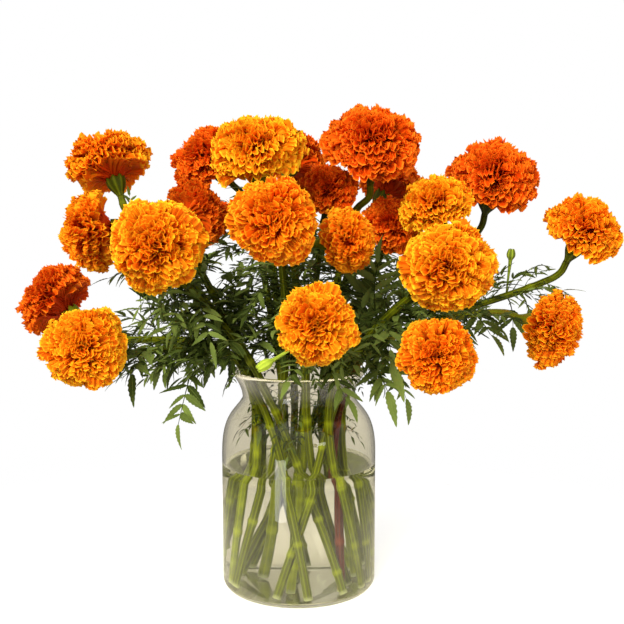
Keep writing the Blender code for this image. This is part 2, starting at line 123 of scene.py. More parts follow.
class StemSettings(bpy.types.PropertyGroup):
    ridges: IntProperty(name="Ridges", description="Ridges round a stem", default=7)
    ridge_depth: FloatProperty(name="Ridge depth", description="Ridge height in stem radii", default=0.06)
    joint_spacing: length_setting("Joint spacing", "Length of stem between two joints", 0.052)
    joint_swell: FloatProperty(name="Joint swell", description="Swelling of a joint in radii", default=0.22)
    green: colour_setting("Green", "Fresh stem", (0.27, 0.31, 0.008))
    maroon: colour_setting("Maroon", "The reddish stem", (0.22, 0.035, 0.018))


class LeafSettings(bpy.types.PropertyGroup):
    seed: IntProperty(name="Seed", description="Another seed gives another growth of leaves", default=3)
    spacing: length_setting("Leaflet spacing", "Length of midrib between two pairs", 0.0075)
    leaflet: length_setting("Leaflet length", "Length of the longest leaflets", 0.026)
    fill: IntProperty(name="Fill", description="Leaves tried along each stem", default=27)
    dark: colour_setting("Dark green", "Upper side of the leaves", (0.029, 0.044, 0.005))
    light: colour_setting("Light green", "Young leaves and ribs", (0.14, 0.185, 0.034))
    bud: colour_setting("Bud green", "The lime green bud", (0.36, 0.46, 0.04))


class VaseSettings(bpy.types.PropertyGroup):
    segments: IntProperty(name="Segments", description="Faces round the glass", default=128)
    glass: colour_setting("Glass", "Tint of the glass", (0.935, 0.925, 0.875))
    water: colour_setting("Water", "Tint of the water", (0.93, 0.945, 0.90))


class StageSettings(bpy.types.PropertyGroup):
    floor: colour_setting("Floor", "The pale floor", (0.97, 0.97, 0.97))
    lens: FloatProperty(name="Lens", description="Focal length in millimetres", default=55.1)
    camera: FloatVectorProperty(
        name="Camera",
        description="Where the camera stands",
        subtype="TRANSLATION",
        default=(0.011, -0.780, 0.303),
    )
    tilt: FloatProperty(
        name="Tilt", description="How far the camera looks down", default=math.radians(5.5), subtype="ANGLE"
    )


# Node trees in few words


class Output:
    """A node's output: [] picks another one of its node's, and sums with it add Math nodes."""

    def __init__(self, socket):
        self.socket = socket
        self.tree = socket.id_data

    def __getitem__(self, key):
        return Output(self.socket.node.outputs[key])

    def math(self, operation, *others):
        return put(self.tree, "ShaderNodeMath", dict(enumerate((self, *others))), operation=operation)

    def vector(self, operation, *others):
        return put(self.tree, "ShaderNodeVectorMath", dict(enumerate((self, *others))), operation=operation)

    def scaled(self, size):
        return put(self.tree, "ShaderNodeVectorMath", {0: self, "Scale": size}, operation="SCALE")

    def above(self, level):
        return self.math("GREATER_THAN", level)

    def mapped(self, low, high, start=0.0, end=1.0, smooth=False):
        """The output run from low to high, made to run from start to end."""
        feeds = {0: self, 1: low, 2: high, 3: start, 4: end}
        bend = "SMOOTHSTEP" if smooth else "LINEAR"
        return put(self.tree, "ShaderNodeMapRange", feeds, interpolation_type=bend)

    def __add__(self, other):
        return self.math("ADD", other)

    def __sub__(self, other):
        return self.math("SUBTRACT", other)

    def __rsub__(self, other):
        return self.math("MULTIPLY_ADD", -1.0, other)

    def __mul__(self, other):
        return self.math("MULTIPLY", other)

    def __truediv__(self, other):
        return self.math("DIVIDE", other)

    def __pow__(self, other):
        return self.math("POWER", other)


def plug(value, socket):
    """Feeds a socket with an output or a value."""
    if isinstance(value, Output):
        socket.id_data.links.new(value.socket, socket)
    else:
        socket.default_value = value


def feed(node, feeds):
    for socket, value in feeds.items():
        plug(value, node.inputs[socket])


def put(tree, kind, feeds=None, **settings):
    """Adds a node with its settings and feeds, and returns its first output."""
    node = tree.nodes.new(kind)
    for name, value in settings.items():
        setattr(node, name, value)
    feed(node, feeds or {})
    return Output(node.outputs[0]) if node.outputs else None


def joined(tree, x, y, z):
    return put(tree, "ShaderNodeCombineXYZ", {0: x, 1: y, 2: z})


def chance(tree, low, high, seed):
    """A random number for each point or instance, fixed by its seed."""
    return put(tree, "FunctionNodeRandomValue", {2: low, 3: high, "Seed": seed}, data_type="FLOAT")[1]


def stored(geometry, name, value, domain="POINT"):
    feeds = {0: geometry, "Name": name, "Value": value}
    return put(geometry.tree, "GeometryNodeStoreNamedAttribute", feeds, domain=domain)


def turned_by(rotation, x, y, z):
    """A rotation turned further about its own axes."""
    local = put(rotation.tree, "FunctionNodeEulerToRotation", {0: joined(rotation.tree, x, y, z)})
    feeds = {"Rotation": rotation, "Rotate By": local}
    return put(rotation.tree, "FunctionNodeRotateRotation", feeds, rotation_space="LOCAL")


def scattered(points, shapes, pick, pose, size, tint, keep=True):
    """Picked shapes of a collection set on points, each with a tint."""
    feeds = {0: shapes, "Separate Children": True, "Reset Children": True}
    choice = put(points.tree, "GeometryNodeCollectionInfo", feeds)
    feeds = {"Points": points, "Selection": keep, "Instance": choice, "Pick Instance": True}
    feeds.update({"Instance Index": pick.math("FLOOR"), "Rotation": pose, "Scale": size})
    return stored(put(points.tree, "GeometryNodeInstanceOnPoints", feeds), "tint", tint, "INSTANCE")


def new_tree(name, inputs):
    """A geometry tree with a geometry in and out and named inputs of these kinds."""
    tree = bpy.data.node_groups.new(name, "GeometryNodeTree")
    for title, kind in {"Geometry": "Geometry", **inputs}.items():
        tree.interface.new_socket(title, in_out="INPUT", socket_type=f"NodeSocket{kind}")
    tree.interface.new_socket("Geometry", in_out="OUTPUT", socket_type="NodeSocketGeometry")
    return tree, put(tree, "NodeGroupInput")


def close_tree(tree, material, *parts):
    """Ends a tree in real, smooth geometry of all its parts, with its material."""
    whole = put(tree, "GeometryNodeJoinGeometry")
    for part in parts:
        plug(part, whole.socket.node.inputs[0])
    real = put(tree, "GeometryNodeRealizeInstances", {0: whole})
    smooth = put(tree, "GeometryNodeSetShadeSmooth", {0: real})
    finish = put(tree, "GeometryNodeSetMaterial", {0: smooth, "Material": material})
    put(tree, "NodeGroupOutput", {0: finish})


# Meshes and pieces


def skinned(name, rows, low=None, high=None):
    """A mesh over rings of points, shut by a middle point at each end that has one."""
    shape = bmesh.new()
    loops = [[shape.verts.new(spot) for spot in row] for row in rows]
    tip, base = high and shape.verts.new(high), low and shape.verts.new(low)
    for k in range(len(loops[0])):
        n = (k + 1) % len(loops[0])
        for a, b in zip(loops, loops[1:]):
            shape.faces.new((a[k], a[n], b[n], b[k]))
        if tip:
            shape.faces.new((loops[-1][k], loops[-1][n], tip))
        if base:
            shape.faces.new((loops[0][n], loops[0][k], base))
    bmesh.ops.recalc_face_normals(shape, faces=shape.faces)
    mesh = bpy.data.meshes.new(name)
    shape.to_mesh(mesh)
    shape.free()
    mesh.shade_smooth()
    return mesh


def turned(name, profile, segments):
    """A mesh of a profile of (radius, height) turned about Z; radius 0 is a pole at an end."""
    turns = [math.tau * k / segments for k in range(segments)]
    rows = [[(r * math.cos(a), r * math.sin(a), z) for a in turns] for r, z in profile if r > 0]
    return skinned(name, rows, *(None if r > 0 else (0, 0, z) for r, z in (profile[0], profile[-1])))


def sheet(name, points, columns, places):
    """An object of a grid of points given row by row, each with its place in the UV map."""
    mesh = bpy.data.meshes.new(name)
    starts = [k for k in range(len(points) - columns) if (k + 1) % columns]
    mesh.from_pydata(points, [], [(k, k + 1, k + 1 + columns, k + columns) for k in starts])
    layer = mesh.uv_layers.new(name="UVMap")
    for loop in mesh.loops:
        layer.data[loop.index].uv = places[loop.vertex_index]
    mesh.shade_smooth()
    return bpy.data.objects.new(name, mesh)


def paint(mesh, name, values):
    """Stores a number for each vertex."""
    mesh.attributes.new(name, "FLOAT", "POINT").data.foreach_set("value", values)


def stood(foot, facing):
    """The matrix that stands a shape made along +Z on a foot, facing a direction."""
    return Matrix.Translation(foot) @ facing.to_track_quat("Z", "Y").to_matrix().to_4x4()


def smooth_lines(lines, resolution):
    """A curve object of smooth lines, each given by its points and their radii."""
    curve = bpy.data.curves.new("lines", "CURVE")
    curve.dimensions, curve.resolution_u = "3D", resolution
    for points, radii in lines:
        spline = curve.splines.new("BEZIER")
        spline.bezier_points.add(len(points) - 1)
        for spot, point, radius in zip(spline.bezier_points, points, radii):
            spot.co, spot.radius = point, radius
            spot.handle_left_type = spot.handle_right_type = "AUTO"
    return linked("lines", curve)


def grown(source, tree, values):
    """The plain mesh that a tree makes of a source object with these inputs."""
    modifier = source.modifiers.new("Growth", "NODES")
    modifier.node_group = tree
    for item in tree.interface.items_tree:
        if item.in_out == "INPUT" and item.name in values:
            modifier[item.identifier] = values[item.name]
    depsgraph = bpy.context.evaluated_depsgraph_get()
    mesh = bpy.data.meshes.new_from_object(
        source.evaluated_get(depsgraph), preserve_all_data_layers=True, depsgraph=depsgraph
    )
    bpy.data.objects.remove(source)
    return mesh


def linked(name, data):
    made = bpy.data.objects.new(name, data)
    bpy.context.scene.collection.objects.link(made)
    return made


def finished(name, mesh, node):
    """Makes a mesh a finished piece on the bouquet's one body, in place of a node of the model."""
    mesh.name = name
    piece = linked(name, mesh)
    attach(piece, "root")
    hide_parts(node)


def merged(meshes):
    """One mesh from several, their materials and attributes kept."""
    objects = [linked("part", mesh) for mesh in meshes]
    with bpy.context.temp_override(
        active_object=objects[0], selected_editable_objects=objects, selected_objects=objects
    ):
        bpy.ops.object.join()
    mesh = objects[0].data
    bpy.data.objects.remove(objects[0])
    return mesh


# What the model says


def rings(node, start):
    """Middle and radius of each ring of a bar's vertices, walking its edges from a first ring."""
    shape = bmesh.new()
    shape.from_mesh(frame["nodes"][node].data)
    bmesh.ops.remove_doubles(shape, verts=shape.verts, dist=1e-6)
    ring = start(list(shape.verts))
    seen = set(ring)
    found = []
    while ring:
        middle = sum((v.co for v in ring), Vector()) / len(ring)
        found.append((middle, sum((v.co - middle).length for v in ring) / len(ring)))
        beside = {e.other_vert(v) for v in ring for e in v.link_edges}
        ring = list(beside - seen)
        seen |= beside
    shape.free()
    return found


def foot_ring(verts):
    floor = min(v.co.z for v in verts)
    return [v for v in verts if v.co.z < floor + 1e-5]


class Flower:
    """A flower as the model holds it: its stem's line, its cup, and its head's seat and facing."""

    def __init__(self, number):
        self.number = number
        self.stem_node = f"stem_{number:02d}"
        self.head_node = f"head_{number:02d}"
        walked = rings(self.stem_node, foot_ring)
        self.line = [middle for middle, _ in walked[:-3]]
        self.radii = [radius for _, radius in walked[:-3]]
        self.cup = walked[-4:]
        self.facing = (walked[-1][0] - walked[-2][0]).normalized()
        self.seat = walked[-1][0] + self.facing * SEAT_GAP
        points = np.array([v.co for v in frame["nodes"][self.head_node].data.vertices])
        offset = points - np.array(self.seat)
        rise = np.outer(offset @ np.array(self.facing), self.facing)
        self.radius = float(np.linalg.norm(offset - rise, axis=1).max())
        self.middle = self.seat + self.facing * self.radius * SEAT_SHARE
        self.slot = SLOTS[self.head_node]
        self.stem_slot = SLOTS[self.stem_node]


SLOTS = {part["node"]: part["material_slot"] for part in frame["record"]["subparts"]}
FLOWERS = [Flower(number) for number in FLOWER_NUMBERS]


# Finishes


def blank_material(name):
    """A material, its tree, its Principled shader and its output; the caller wires the rest."""
    made = bpy.data.materials.new(name)
    made.use_nodes = True
    nodes = made.node_tree.nodes
    return made, made.node_tree, nodes["Principled BSDF"], nodes["Material Output"]


def part_through(output, share, shader, second):
    """Ends a material in its shader and, by a share, a second one that lets light through."""
    feeds = {0: share, 1: Output(shader.outputs[0]), 2: second}
    plug(put(output.id_data, "ShaderNodeMixShader", feeds), output.inputs["Surface"])


def ramp(factor, stops):
    """A colour ramp's output; stops are (place, colour)."""
    made = put(factor.tree, "ShaderNodeValToRGB", {0: factor})
    elements = made.socket.node.color_ramp.elements
    while len(elements) > 1:
        elements.remove(elements[-1])
    elements[0].position, elements[0].color = stops[0][0], (*stops[0][1], 1)
    for place, colour in stops[1:]:
        elements.new(place).color = (*colour, 1)
    return made


def blended(factor, a, b):
    """The output of a colour mix; a and b are outputs or colours."""
    a, b = (end if isinstance(end, Output) else (*end, 1) for end in (a, b))
    return put(factor.tree, "ShaderNodeMix", {0: factor, 6: a, 7: b}, data_type="RGBA")[2]


def shifted(colour, gains, lifts=(0.0, 0.0, 0.0)):
    return tuple(min(1.0, part * gain + lift) for part, gain, lift in zip(colour, gains, lifts))


def attribute(tree, name):
    return put(tree, "ShaderNodeAttribute", attribute_name=name)["Fac"]


def parts_of(place):
    """The x, y and z of a vector output."""
    apart = put(place.tree, "ShaderNodeSeparateXYZ", {0: place})
    return apart, apart[1], apart[2]


def object_place(tree):
    return put(tree, "ShaderNodeTexCoord")["Object"]


def noise(place, scale, detail):
    return put(place.tree, "ShaderNodeTexNoise", {"Vector": place, "Scale": scale, "Detail": detail})["Fac"]


def bumped(height, strength, distance):
    return put(height.tree, "ShaderNodeBump", {"Height": height, "Strength": strength, "Distance": distance})


def tint_group():
    """A shared effect: shifts a colour by a value that changes over the surface."""
    group = bpy.data.node_groups.new("Living tint", "ShaderNodeTree")
    inputs = {"Colour": "Color", "Second colour": "Color", "Patch size": "Float", "Each": "Float"}
    for way, sockets in (("INPUT", inputs), ("OUTPUT", {"Colour": "Color", "Height": "Float"})):
        for name, kind in sockets.items():
            group.interface.new_socket(name, in_out=way, socket_type=f"NodeSocket{kind}")
    source = put(group, "NodeGroupInput")
    patches = noise(object_place(group), source["Patch size"], 2.0)
    share = (patches + source["Each"]).mapped(0.65, 1.25)
    colour = blended(share, source["Colour"], source["Second colour"])
    put(group, "NodeGroupOutput", {"Colour": colour, "Height": patches})
    return group


def living_tint(tree, colour, second, size, each):
    """A colour shifted towards a second one in patches, and the patches."""
    group = bpy.data.node_groups.get("Living tint") or tint_group()
    feeds = {"Colour": (*colour, 1), "Second colour": (*second, 1), "Patch size": size, "Each": each}
    made = put(tree, "ShaderNodeGroup", feeds, node_tree=group)
    return made["Colour"], made["Height"]


def petal_material(name, colour):
    """Orange petals: painted shade deep at the foot and in the pleats' valleys, and a painted highlight that
    turns them brighter and yellower towards a crisped edge.
    """
    settings = bpy.context.scene.bouquet_petals
    made, tree, shader, output = blank_material(name)
    across, along, _ = parts_of(put(tree, "ShaderNodeUVMap", uv_map="UVMap"))
    each = attribute(tree, "tint")
    yellow = shifted(colour, (1.08, 1.30, 1.0), (0.04, 0.03, 0.004))
    # bright: the colour of the painted highlight along the petal's edge
    bright = shifted(colour, (1.1, 1.34, 1.0), (0.10, 0.065, 0.010))
    red = shifted(colour, (0.86, 0.42, 0.5))
    body, _ = living_tint(tree, red, yellow, 30.0, each * 0.45 + 0.26)
    veins = noise(joined(tree, across * 22.0, along * 1.6, each * 37.0), 1.0, 3.0)
    veins_and_fold_shade = blended(veins.mapped(0.56, 0.36, smooth=True) * 0.5, body, red)
    # painted shade: the petal turns redder in the valleys of its pleats, where the fold value is low
    veins_and_fold_shade = blended(attribute(tree, "fold") * -0.85 + 0.85, veins_and_fold_shade, red)
    shaded = blended(along.mapped(0.25, 0.80, smooth=True), tuple(settings.heart), veins_and_fold_shade)
    # painted highlight: the crisped edge is lightened towards the bright colour
    wavy = along + (veins - 0.5) * 0.10
    edge_highlighted = blended(wavy.mapped(0.92, 0.99, smooth=True) * 0.8, shaded, bright)
    feed(shader, {"Base Color": edge_highlighted, "Roughness": 0.55, "Specular IOR Level": 0.1})
    feed(shader, {"Normal": bumped(veins, 0.5, 0.0008)})
    part_through(output, settings.glow, shader, put(tree, "ShaderNodeBsdfTranslucent", {"Color": edge_highlighted}))
    return made


def stem_material(name, colour, fresh=(0.0, 0.0, 0.0), above=0.33):
    """Fresh stem: fine ridges and paler joints, painted shade that darkens it above the vase, with a pale
    cut end.
    """
    made, tree, shader, _ = blank_material(name)
    along, joint = attribute(tree, "along"), attribute(tree, "joint")
    pale = shifted(colour, (1.6, 1.6, 1.6), (0.02, 0.02, 0.0))
    dark = shifted(colour, (0.28, 0.28, 0.28))
    body, patches = living_tint(tree, dark, colour, 90.0, attribute(tree, "tint"))
    body = blended(attribute(tree, "fresh") * 0.85, body, tuple(fresh))
    lined = blended(attribute(tree, "ridge") ** 2.5 * 0.4, body, pale)
    jointed = blended(joint * 0.5, lined, pale)
    scarred = blended(joint.mapped(0.90, 0.99) * (patches * 1.3), jointed, (0.10, 0.055, 0.012))
    # painted shade: the stem's value falls with height, down to the share given by above, as if shaded by
    # the heads and leaves
    height = parts_of(object_place(tree))[2]
    shade = height.mapped(0.10, 0.30, 1.0, above)
    shaded = put(tree, "ShaderNodeHueSaturation", {"Value": shade, "Color": scarred})
    ended = blended(along.mapped(0.012, 0.0), shaded, (0.48, 0.50, 0.26))
    feed(shader, {"Base Color": ended, "Roughness": 0.42, "Specular IOR Level": 0.1})
    feed(shader, {"Normal": bumped(noise(object_place(tree), 900.0, 3.0), 0.25, 0.0003)})
    return made


def leaf_material(name, dark, light):
    """Dark matte leaf with a paler midrib and side veins, a little light passing through."""
    made, tree, shader, output = blank_material(name)
    across, along, _ = parts_of(put(tree, "ShaderNodeUVMap", uv_map="UVMap"))
    across = (across - 0.5).math("ABSOLUTE")
    body, _ = living_tint(tree, dark, light, 45.0, attribute(tree, "tint"))
    side = ((along - across * 0.55) * 9.0).math("PINGPONG", 0.5)
    lines = across.mapped(0.07, 0.0).math("MAXIMUM", side.mapped(0.09, 0.0) * 0.45)
    lined = blended(lines * 0.7, body, light)
    feed(shader, {"Base Color": lined, "Roughness": 0.48, "Specular IOR Level": 0.2})
    feed(shader, {"Normal": bumped(lines, 0.4, 0.0004)})
    part_through(output, 0.22, shader, put(tree, "ShaderNodeBsdfTranslucent", {"Color": lined}))
    return made


MOST_BENDS = 6.5  # a ray that has met more surfaces goes straight on through glass and water
MOST_MIRRORS = 2.5  # and so does one that has been mirrored more often


def clear_material(name, colour, ior, wave):
    """Glass or water that bends light and lets the light through to what stands in it."""
    made, tree, shader, output = blank_material(name)
    feed(shader, {"Base Color": (*colour, 1), "Roughness": 0.0, "IOR": ior, "Transmission Weight": 1.0})
    feed(shader, {"Normal": bumped(noise(object_place(tree), 14.0, 1.0), wave, 0.002)})
    ray = put(tree, "ShaderNodeLightPath")
    spent = ray["Ray Depth"].above(MOST_BENDS).math("MAXIMUM", ray["Glossy Depth"].above(MOST_MIRRORS))
    through = ray["Is Shadow Ray"].math("MAXIMUM", spent)
    part_through(output, through, shader, put(tree, "ShaderNodeBsdfTransparent", {"Color": (*colour, 1)}))
    return made


# Vase and water


def bezier(p0, p1, p2, p3, count):
    """Points along a cubic curve, its first point left out."""
    points = []
    for i in range(1, count + 1):
        t = i / count
        s = 1 - t
        shares = s**3, 3 * s * s * t, 3 * s * t * t, t**3
        points.append(tuple(sum(w * x for w, x in zip(shares, part)) for part in zip(p0, p1, p2, p3)))
    return points


def glass_outside():
    """The outside of the vase as (radius, height) from the heel to the rim."""
    body, height = VASE_HIGH.x, VASE_HIGH.z
    heel, neck, rim = 0.008, 0.0462, 0.055
    turns = np.linspace(0, math.pi / 2, 9)
    profile = [(body - heel * (1 - math.sin(a)), heel * (1 - math.cos(a))) for a in turns]
    profile += [(body, z) for z in np.linspace(0.02, 0.112, 6)]
    profile += bezier((body, 0.112), (body, 0.145), (neck + 0.006, 0.146), (neck, 0.158), 20)
    profile += bezier((neck, 0.158), (neck, 0.166), (rim - 0.004, 0.173), (rim, height - 0.0012), 10)
    return profile


def inset(profile, wall):
    """A profile moved inwards by a wall's thickness."""
    inside = []
    for i, (radius, height) in enumerate(profile):
        before, after = profile[max(i - 1, 0)], profile[min(i + 1, len(profile) - 1)]
        run = Vector((after[0] - before[0], after[1] - before[1])).normalized()
        inside.append((radius - run.y * wall, height + run.x * wall))
    return inside


GLASS_FLOOR = 0.0046
GLASS_WALL = 0.0028


class BOUQUET_OT_vase(bpy.types.Operator):
    """Turn the glass vase with its thick floor and rolled rim"""

    bl_idname = "bouquet.vase"
    bl_label = "Vase"

    def execute(self, context):
        settings = context.scene.bouquet_vase
        outside = glass_outside()
        inside = [p for p in inset(outside, GLASS_WALL) if p[1] > GLASS_FLOOR + 0.0004]
        rim_out, rim_in = outside[-1], inside[-1]
        middle, half = (rim_out[0] + rim_in[0]) / 2, (rim_out[0] - rim_in[0]) / 2
        top = VASE_HIGH.z - rim_out[1]
        bend = (inside[0][0] - 0.0015, GLASS_FLOOR + 0.0001)
        profile = [(0.0, 0.0018), (0.030, 0.0015), (0.048, 0.0006)] + outside
        for turn in np.linspace(0, math.pi, 9)[1:-1]:
            profile.append((middle + half * math.cos(turn), rim_out[1] + top * math.sin(turn)))
        profile += inside[::-1] + [bend, (0.03, GLASS_FLOOR), (0.0, GLASS_FLOOR)]
        mesh = turned("vase", profile, settings.segments)
        mesh.materials.append(clear_material("clear_glass", tuple(settings.glass), 1.45, 0.15))
        finished("glass_vase", mesh, "vase")
        return {"FINISHED"}


class BOUQUET_OT_water(bpy.types.Operator):
    """Fill the vase with water that climbs a little where it meets the glass"""

    bl_idname = "bouquet.water"
    bl_label = "Water"

    def execute(self, context):
        settings = context.scene.bouquet_vase
        lap = 0.0004
        wall = inset(glass_outside(), GLASS_WALL - lap)
        wet = [p for p in wall if GLASS_FLOOR < p[1] < WATER_LEVEL]
        side = wet[-1][0]
        climb = [(side, WATER_LEVEL + 0.0018), (side - 0.0008, WATER_LEVEL + 0.0012)]
        climb += [(side - 0.0022, WATER_LEVEL + 0.0003), (side - 0.005, WATER_LEVEL)]
        profile = [(0.0, GLASS_FLOOR - lap), (wet[0][0] - 0.002, GLASS_FLOOR - lap)] + wet + climb
        profile += [(0.02, WATER_LEVEL), (0.0, WATER_LEVEL)]
        mesh = turned("water", profile, settings.segments)
        mesh.materials.append(clear_material("water", tuple(settings.water), 1.33, 0.03))
        finished("clear_water", mesh, "water")
        return {"FINISHED"}


# Stems


JOINT_REACH = 0.04  # how far a joint swells the stem, as a share of the way to the next


def stem_tree():
    """A ridged bar along a line, thicker at its joints."""
    inputs = {"Ridges": "Int", "Ridge Depth": "Float", "Joint Spacing": "Float", "Joint Swell": "Float"}
    tree, source = new_tree("Stem", {**inputs, "First Joint": "Float", "Material": "Material"})
    line = put(tree, "GeometryNodeResampleCurve", {0: source["Geometry"], "Length": 0.003}, mode="LENGTH")
    spline = put(tree, "GeometryNodeSplineParameter")
    place = spline["Length"] / source["Joint Spacing"] + source["First Joint"]
    away = (place.math("FRACT") - 0.5) / JOINT_REACH
    joint = (away * away * -1.0).math("EXPONENT")
    radius = put(tree, "GeometryNodeInputRadius")
    wide = radius * (joint * source["Joint Swell"] + 1.0)
    line = put(tree, "GeometryNodeSetCurveRadius", {0: line, "Radius": wide})
    line = stored(stored(line, "joint", joint), "along", spline["Factor"])
    circle = put(tree, "GeometryNodeCurvePrimitiveCircle", {"Resolution": 21, "Radius": 1.0})
    spot = put(tree, "GeometryNodeInputPosition")
    x, y, _ = parts_of(spot)
    ridge = (y.math("ARCTAN2", x) * source["Ridges"]).math("COSINE")
    ridged = spot.scaled(ridge * source["Ridge Depth"] + 1.0)
    circle = put(tree, "GeometryNodeSetPosition", {0: circle, "Position": ridged})
    circle = stored(circle, "ridge", ridge * 0.5 + 0.5)
    feeds = {0: line, 1: circle, "Scale": radius, "Fill Caps": True}
    close_tree(tree, source["Material"], put(tree, "GeometryNodeCurveToMesh", feeds))
    return tree


def cup_mesh(flower):
    """The green cup: ribbed sides that flare from the stem and end in short pointed lobes."""
    around, up, lobes = 40, 10, 8
    foot, mouth = flower.line[-1], flower.seat + flower.facing * 0.0022
    deep = (mouth - foot).length
    thin, wide = flower.radii[-1] * 0.98, flower.cup[-1][1] * 0.92
    turns = [math.tau * k / around for k in range(around)]
    ribs = [0.5 + 0.5 * math.cos(lobes * turn) for turn in turns]
    rows = []
    for j in range(up + 1):
        t = j / up
        flare = math.sin(min(1.0, t * 1.15) * math.pi / 2) ** 1.7
        row = []
        for turn, rib in zip(turns, ribs):
            radius = thin + (wide - thin) * flare * (0.90 + 0.10 * rib) + wide * 0.10 * max(0.0, t - 0.75)
            height = t * deep + (0.0028 * rib - 0.001) * max(0.0, t - 0.7) / 0.3
            row.append((radius * math.cos(turn), radius * math.sin(turn), height))
        rows.append(row)
    mesh = skinned("cup", rows, (0, 0, -0.0005), (0, 0, deep - 0.001))
    paint(mesh, "ridge", ribs * (up + 1) + [0.0, 0.0])
    paint(mesh, "along", [1.0] * (around * (up + 1)) + [0.0, 0.0])
    mesh.transform(stood(foot, flower.facing))
    return mesh


class BOUQUET_OT_stems(bpy.types.Operator):
    """Grow the ridged, jointed stems with their green cups"""

    bl_idname = "bouquet.stems"
    bl_label = "Stems"

    def execute(self, context):
        settings = context.scene.bouquet_stems
        finishes = {
            "stem_green": stem_material("stem_green", tuple(settings.green)),
            "stem_maroon": stem_material("stem_maroon", tuple(settings.maroon), settings.green),
        }
        tree = stem_tree()
        dice = random.Random(4)
        for flower in FLOWERS:
            finish = finishes[flower.stem_slot]
            values = {
                "Ridges": settings.ridges,
                "Ridge Depth": settings.ridge_depth,
                "Joint Spacing": settings.joint_spacing * dice.uniform(0.8, 1.25),
                "Joint Swell": settings.joint_swell,
                "First Joint": dice.random(),
                "Material": finish,
            }
            stem = grown(smooth_lines([(flower.line, flower.radii)], 6), tree, values)
            cup = cup_mesh(flower)
            cup.materials.append(finish)
            mesh = merged([stem, cup])
            paint(mesh, "tint", [dice.uniform(-0.1, 0.7)] * len(mesh.vertices))
            if flower.stem_slot == "stem_maroon":
                low, high = VASE_HIGH.z * 0.9, VASE_HIGH.z * 1.25
                shares = [min(1.0, max(0.0, (v.co.z - low) / (high - low))) for v in mesh.vertices]
                paint(mesh, "fresh", shares)
            finished(f"{flower.stem_node}_grown", mesh, flower.stem_node)
        return {"FINISHED"}


# Heads


PETAL_COLUMNS = 21
PETAL_ROWS = (0.0, 0.34, 0.60, 0.80, 0.93, 1.0)
OUTER_PETALS = 4
INNER_PETALS = 5
PETAL_KINDS = (  # how many, waves across, ruffle, bulge, half width: outer petals, then inner ones
    (OUTER_PETALS, (3.2, 5.0), 1.1, (0.12, 0.24), (0.36, 0.50)),
    (INNER_PETALS, (1.8, 3.0), 1.5, (-0.05, 0.10), (0.22, 0.34)),
)


def petal_mesh(name, dice, waves, rough, bulge, width, ruffle):
    """One petal from the origin to (0, 0, 1): narrow foot, broad pleated fan that arches over."""
    waves, phase = dice.uniform(*waves), dice.uniform(0, 6)
    bulge, width = dice.uniform(*bulge), dice.uniform(*width)
    second, lean = dice.uniform(0, math.tau), dice.uniform(-0.12, 0.12)
    ruffle *= rough
    points, places, folds = [], [], []
    for v in PETAL_ROWS:
        half = width * (0.16 + 0.84 * math.sin(math.pi / 2 * v**0.9))
        for i in range(PETAL_COLUMNS):
            u = 2 * i / (PETAL_COLUMNS - 1) - 1
            turn = math.pi * waves * u
            wave, fine = math.sin(turn + phase), math.sin(turn * 2.3 + second)
            x = u * half * (1 - 0.10 * v * abs(u)) + 0.05 * v * v * math.cos(turn + phase)
            y = ruffle * v**0.9 * (wave + 0.4 * fine * v) + 4 * bulge * v * (1 - v) + 0.12 * u * u * v
            z = v * (1 - 0.24 * u * u * v) + 0.05 * v**4 * (fine + 0.6 * wave) + lean * u * v
            points.append((x, y, z))
            places.append((i / (PETAL_COLUMNS - 1), v))
            # the pleat's wave, which the petal material uses to paint shade into the valleys
            folds.append(0.5 + 0.5 * wave)
    petal = sheet(name, points, PETAL_COLUMNS, places)
    paint(petal.data, "fold", folds)
    return petal


def collected(name, maker, seed, kinds, *settings):
    """A collection of shapes: so many of each kind."""
    shapes = bpy.data.collections.new(name)
    dice = random.Random(seed)
    for count, *kind in kinds:
        for _ in range(count):
            shapes.objects.link(maker(f"{name}_{len(shapes.objects):02d}", dice, *kind, *settings))
    return shapes


def scrap(shapes):
    for shape in list(shapes.objects):
        bpy.data.objects.remove(shape)
    bpy.data.collections.remove(shapes)


PETAL_SPREAD = 1.56  # how far down the ball the petals reach, 2 being all round it


